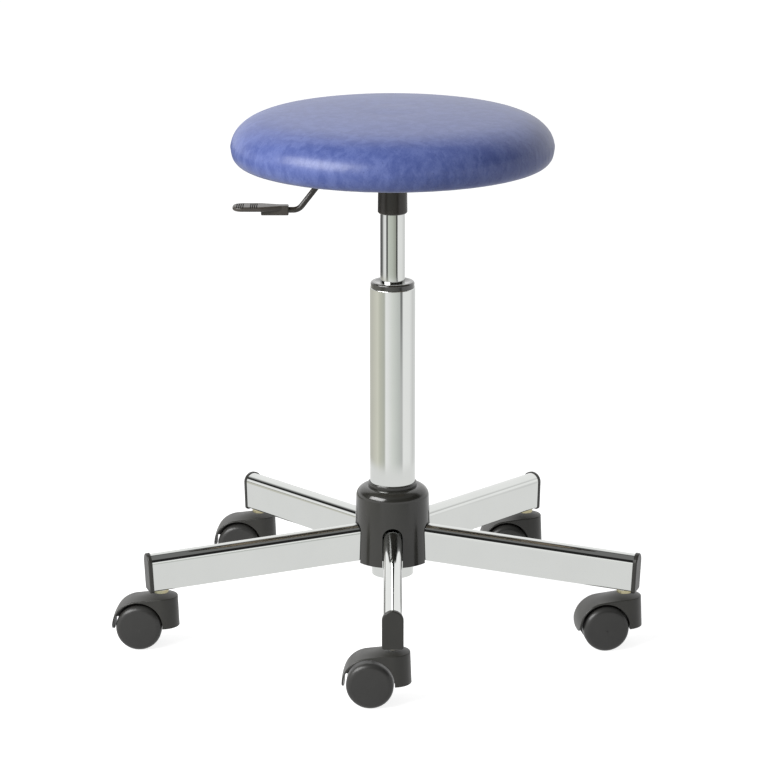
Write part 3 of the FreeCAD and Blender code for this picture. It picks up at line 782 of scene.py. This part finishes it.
class STOOL_OT_cushion(bpy.types.Operator):
    """Padded seat: foam blown out under a leatherette cover, hem stapled under the board"""

    bl_idname = "stool.cushion"
    bl_label = "Cushion"

    def execute(self, context):
        sizes = context.scene.stool_sizes
        material = leatherette(context.scene.stool_colours)
        cushion = new_piece("seat_cover", lathe(cushion_profile(sizes), steps=96), material)
        remesh(cushion, voxel=0.004)
        relax(cushion, rounds=4)
        blow_out(cushion, sizes, held_below=SEAT_LOW.z + 0.004)
        relax(cushion, rounds=3)
        finer = cushion.modifiers.new("finer", "SUBSURF")
        finer.levels = 1
        finer.render_levels = 1
        apply_modifiers(cushion)
        gather(cushion, sizes)
        hollow(cushion, sizes)
        cushion.data.shade_smooth()
        cushion.data.set_sharp_from_angle(angle=math.radians(50))
        cushion.data.materials.clear()
        cushion.data.materials.append(material)
        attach(cushion, "seat")
        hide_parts("seat_cushion")
        cushion.visible_glossy = False
        return {"FINISHED"}


class STOOL_OT_staples(bpy.types.Operator):
    """Staples that hold the hem under the board"""

    bl_idname = "stool.staples"
    bl_label = "Staples"

    def execute(self, context):
        sizes = context.scene.stool_sizes
        chance = random.Random(7)
        shape = bmesh.new()
        hem_share = 0.62
        spacing_stray = 0.22
        ring_stray = 0.002
        slant = 0.25
        stand_off = 0.0001
        ring = BOARD_HIGH.x - sizes.hem_width * hem_share
        block = Matrix.Diagonal((sizes.staple_length, sizes.staple_width, sizes.staple_height, 1.0))
        for index in range(sizes.staple_count):
            turn = FULL_TURN * (index + chance.uniform(-spacing_stray, spacing_stray)) / sizes.staple_count
            radius = ring + chance.uniform(-ring_stray, ring_stray)
            level = SEAT_LOW.z - pleat(sizes, turn, radius) - stand_off
            skew = math.pi / 2 + chance.uniform(-slant, slant)
            place = Matrix.Rotation(turn, 4, "Z") @ Matrix.Translation((radius, 0.0, level))
            place = place @ Matrix.Rotation(skew, 4, "Z") @ block
            bmesh.ops.create_cube(shape, size=1.0, matrix=place)
        bmesh.ops.bevel(
            shape,
            geom=shape.edges[:],
            offset=0.00022,
            segments=2,
            profile=0.5,
            affect="EDGES",
            material=-1,
        )
        staples = new_piece("staples", shape, bpy.data.materials["zinc_steel"])
        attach(staples, "seat")
        return {"FINISHED"}


class STOOL_OT_seat_frame(bpy.types.Operator):
    """Board, plate, sleeve and fasteners under the seat"""

    bl_idname = "stool.seat_frame"
    bl_label = "Seat frame"

    def execute(self, context):
        dress(plywood(), "seat_board")
        dress(painted(context.scene.stool_colours), "seat_plate", "taper_socket", "lever_rod")
        zinc = steel("zinc_steel", (0.60, 0.61, 0.63), roughness=0.28, tint=(0.52, 0.54, 0.60))
        dress(zinc, "tee_nuts", "seat_bolts", "castor_sockets", "rod_clip")
        bright = steel("bright_steel", (0.66, 0.66, 0.66), roughness=0.16, tint=(0.60, 0.60, 0.62))
        dress(bright, "release_button", "piston_rod", "upper_race", "lower_race", "ball_cage")
        dress(bright, *each_arm("castor_axle_"))
        return {"FINISHED"}


class STOOL_OT_column(bpy.types.Operator):
    """Chromed column, gas cylinder and arms"""

    bl_idname = "stool.column"
    bl_label = "Column and arms"

    def execute(self, context):
        plate = chrome(context.scene.stool_colours)
        dress(plate, "column_tube", "gas_cylinder", "hub_core", *each_arm("arm_"))
        dress(rubber(), "bump_stop")
        return {"FINISHED"}


class STOOL_OT_mouldings(bpy.types.Operator):
    """Black mouldings: hub cover, bush, caps, grip and castor hoods"""

    bl_idname = "stool.mouldings"
    bl_label = "Mouldings"

    def execute(self, context):
        colours = context.scene.stool_colours
        satin = moulded("black_plastic", colours.plastic, roughness=0.29, grain=0.2)
        dress(satin, "lever_pivot", "rod_guide", "piston")
        dress(satin, *each_arm("end_cap_"), *each_arm("castor_hood_"))
        dress(grip_plastic(colours), "lever_grip")
        gloss = moulded("gloss_black_plastic", colours.plastic, roughness=0.12, grain=0.06, coat=0.3)
        dress(gloss, "hub_cover")
        dress(moulded("bush_plastic", colours.plastic, roughness=0.08, grain=0.05, coat=1.0), "guide_bush")
        return {"FINISHED"}


class STOOL_OT_castors(bpy.types.Operator):
    """Wheels and stems of the castors"""

    bl_idname = "stool.castors"
    bl_label = "Castors"

    def execute(self, context):
        colours = context.scene.stool_colours
        tread = moulded("castor_plastic", colours.wheel, roughness=0.3, grain=0.2)
        dress(tread, *each_arm("wheel_a_"), *each_arm("wheel_b_"))
        yellow = steel("yellow_zinc", (0.50, 0.455, 0.29), roughness=0.1, tint=(0.40, 0.43, 0.30))
        dress(yellow, *each_arm("castor_stem_"))
        return {"FINISHED"}


# Studio
def light_world(studio):
    """White studio; mirrored, it is a dark room with a dim ceiling, a bright foot and a white backdrop.

    Over is the turn from the camera's side up and over to the back, and aside the one from the back
    to the right.
    """
    world = bpy.data.worlds.new("studio")
    world.use_nodes = True
    world.node_tree.nodes.clear()
    bpy.context.scene.world = world
    tree = Wire(world.node_tree)
    way = tree.node("ShaderNodeTexCoord", output="Generated")
    depth = tree.node("ShaderNodeSeparateXYZ", None, {"Vector": way}, "Y")
    height = depth.also("Z")
    stops = [
        (0.0, grey(1.0)),
        (0.235, grey(1.0)),
        (0.285, grey(0.02)),
        (0.70, grey(0.02)),
        (0.73, grey(0.19)),
        (1.0, grey(0.19)),
    ]
    room = tree.node("ShaderNodeValToRGB", {"stops": stops}, {"Fac": height})
    over = tree.maths("ARCTAN2", height, 0.0 - depth)
    aside = tree.maths("ARCTAN2", depth.also("X"), depth)
    rail = 1.0 - abs(over - math.radians(110.5)).step(math.radians(2), math.radians(4))
    left_edge = aside.step(math.radians(-62), math.radians(-40))
    right_edge = 1.0 - aside.step(math.radians(55), math.radians(85))
    backdrop = over.step(math.radians(113), math.radians(127)) * left_edge * right_edge
    room = backdrop.blend((rail * 0.85).blend(room, grey(0.02)), grey(1.0))
    path = tree.node("ShaderNodeLightPath", output="Is Camera Ray")
    mirrored = tree.maths("MAXIMUM", path.also("Is Glossy Ray"), path.also("Is Transmission Ray"))
    seen = mirrored.blend(grey(studio.fill), room)
    light = tree.node("ShaderNodeBackground", None, {"Color": path.blend(seen, grey(1.0))})
    tree.node("ShaderNodeOutputWorld", None, {"Surface": light})


def floor_finish(colours, studio):
    """Pale floor; mirrored, it glows as a painted reflection: a bright sheet with painted stands and
    screens of a studio farther out, which nothing in the scene casts.

    The painted screens are given by the share of a turn round the stool, in which 0.5 faces the camera.
    """
    sheet_edge = 0.65
    far_edge = 1.70
    painted_stand_share = 0.625
    material, tree = new_material("studio_floor")
    place = object_place(tree)
    across = tree.node("ShaderNodeSeparateXYZ", None, {"Vector": place}, "X")
    turn = tree.maths("ARCTAN2", across, 0.0 - across.also("Y"))
    share = turn * (1 / FULL_TURN) + 0.5
    distance = tree.node("ShaderNodeVectorMath", {"operation": "LENGTH"}, {0: place}, "Value")
    # Painted reflection: colours that only mirrored rays see on the floor, standing in for the screens of a
    # studio.
    near_painted_screens = [
        (0.0, (0.66, 0.66, 0.62, 1.0)),
        (0.14, (0.62, 0.61, 0.55, 1.0)),
        (0.275, (0.77, 0.76, 0.67, 1.0)),
        (0.315, (0.63, 0.63, 0.55, 1.0)),
        (0.385, (0.54, 0.55, 0.50, 1.0)),
        (0.405, grey(1.0)),
        (0.438, grey(0.95)),
        (0.5, (0.80, 0.82, 0.79, 1.0)),
        (0.59, (0.63, 0.65, 0.63, 1.0)),
        (0.635, grey(0.58)),
        (0.655, grey(0.98)),
        (0.76, grey(0.96)),
        (0.84, grey(0.74)),
        (1.0, grey(0.86)),
    ]
    far_painted_screens = [
        (0.19, grey(0.14)),
        (0.235, grey(0.7)),
        (0.27, grey(0.92)),
        (0.322, grey(0.92)),
        (0.338, grey(0.06)),
        (0.366, grey(0.06)),
        (0.384, (0.66, 0.69, 0.63, 1.0)),
        (0.5, (0.55, 0.58, 0.52, 1.0)),
        (0.588, (0.36, 0.37, 0.33, 1.0)),
        (0.6, grey(0.03)),
        (0.624, grey(0.03)),
        (0.638, grey(0.95)),
        (0.76, grey(0.92)),
        (0.87, grey(0.74)),
    ]
    near = tree.node("ShaderNodeValToRGB", {"stops": near_painted_screens}, {"Fac": share})
    far = tree.node("ShaderNodeValToRGB", {"stops": far_painted_screens}, {"Fac": share})
    level = distance.step(sheet_edge - 0.03, sheet_edge + 0.03).blend(grey(0.86), near)
    # Painted reflection of a dark stand, seen only by mirrored rays.
    painted_stand = (1.0 - abs(share - painted_stand_share).step(0.012, 0.02)) * distance.step(0.9, far_edge) * 0.75
    level = painted_stand.blend(level, grey(0.08))
    level = distance.step(far_edge - 0.02, far_edge + 0.02).blend(level, far)
    grain = noise(tree, place, 6.0)
    base = grain.blend(opaque(colours.floor, 0.99), opaque(colours.floor, 1.01))
    path = tree.node("ShaderNodeLightPath", output="Is Glossy Ray")
    lit = tree.node("ShaderNodeBsdfDiffuse", None, {"Color": base})
    strength = path.also("Is Camera Ray") * studio.floor_lift
    lift = tree.node("ShaderNodeEmission", None, {"Strength": strength})
    plain = tree.node("ShaderNodeAddShader", None, {0: lit, 1: lift})
    # Painted reflection: for mirrored rays the floor glows with these colours instead of being lit.
    sheet = tree.node("ShaderNodeEmission", None, {"Color": level})
    surface = tree.node("ShaderNodeMixShader", None, {0: path, 1: plain, 2: sheet})
    tree.node("ShaderNodeOutputMaterial", None, {"Surface": surface})
    return material


def look_from(name, data, studio, azimuth, elevation, distance):
    """Lamp or camera that looks at the aim from a turn, an angle above the level and a distance."""
    holder = bpy.data.objects.new(name, data)
    bpy.context.scene.collection.objects.link(holder)
    level = distance * math.cos(elevation)
    offset = Vector((level * math.sin(azimuth), -level * math.cos(azimuth), distance * math.sin(elevation)))
    holder.location = Vector(studio.aim) + offset
    holder.rotation_euler = (-offset).to_track_quat("-Z", "Y").to_euler()
    return holder


def key_light(studio):
    """Soft box at the left, kept off the arms, where it would show as a white strip."""
    lamp = bpy.data.lights.new("key", "AREA")
    lamp.shape = "RECTANGLE"
    lamp.size = studio.key_width
    lamp.size_y = studio.key_height
    lamp.energy = studio.key_power
    key = look_from("key", lamp, studio, studio.key_azimuth, studio.key_elevation, studio.key_distance)
    flagged = bpy.data.collections.new("flagged_from_key")
    for node in each_arm("arm_"):
        flagged.objects.link(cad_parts[node])
    for entry in flagged.collection_objects:
        entry.light_linking.link_state = "EXCLUDE"
    key.light_linking.receiver_collection = flagged


class STOOL_OT_studio(bpy.types.Operator):
    """Floor, light and camera"""

    bl_idname = "stool.studio"
    bl_label = "Studio"

    def execute(self, context):
        scene = context.scene
        studio = scene.stool_studio
        scene.view_settings.view_transform = "Standard"
        light_world(studio)
        shape = bmesh.new()
        bmesh.ops.create_circle(shape, cap_ends=True, segments=96, radius=7.0)
        floor = new_piece("floor", shape, floor_finish(scene.stool_colours, studio))
        key_light(studio)
        hide_from_mirrors(each_arm("arm_") + each_arm("end_cap_") + each_arm("castor_stem_"))
        hide_from_mirrors(["castor_sockets", "castor_hood_front", "castor_axle_front"])
        hide_from_mirrors(["wheel_a_front", "wheel_b_front"])
        lens = bpy.data.cameras.new("camera")
        lens.lens = studio.lens
        lens.clip_end = 50.0
        scene.camera = look_from("camera", lens, studio, 0.0, studio.elevation, studio.distance)
        return {"FINISHED"}


class STOOL_PT_panel(bpy.types.Panel):
    """Buttons for the pieces, in the order that they are made"""

    bl_idname = "STOOL_PT_panel"
    bl_label = "Stool"
    bl_space_type = "VIEW_3D"
    bl_region_type = "UI"
    bl_category = "Stool"

    def draw(self, context):
        for operator in OPERATORS:
            self.layout.operator(operator.bl_idname)


GROUPS = {"stool_sizes": StoolSizes, "stool_colours": StoolColours, "stool_studio": StoolStudio}
OPERATORS = (
    STOOL_OT_seat_frame,
    STOOL_OT_column,
    STOOL_OT_mouldings,
    STOOL_OT_castors,
    STOOL_OT_cushion,
    STOOL_OT_staples,
    STOOL_OT_studio,
)


def register():
    for name, group in GROUPS.items():
        bpy.utils.register_class(group)
        setattr(bpy.types.Scene, name, bpy.props.PointerProperty(type=group))
    for kind in OPERATORS + (STOOL_PT_panel,):
        bpy.utils.register_class(kind)


def unregister():
    for kind in (STOOL_PT_panel,) + OPERATORS:
        bpy.utils.unregister_class(kind)
    for name, group in GROUPS.items():
        delattr(bpy.types.Scene, name)
        bpy.utils.unregister_class(group)


def main():
    register()
    bpy.ops.stool.seat_frame()
    bpy.ops.stool.column()
    bpy.ops.stool.mouldings()
    bpy.ops.stool.castors()
    bpy.ops.stool.cushion()
    bpy.ops.stool.staples()
    bpy.ops.stool.studio()


if __name__ == "__main__":
    main()
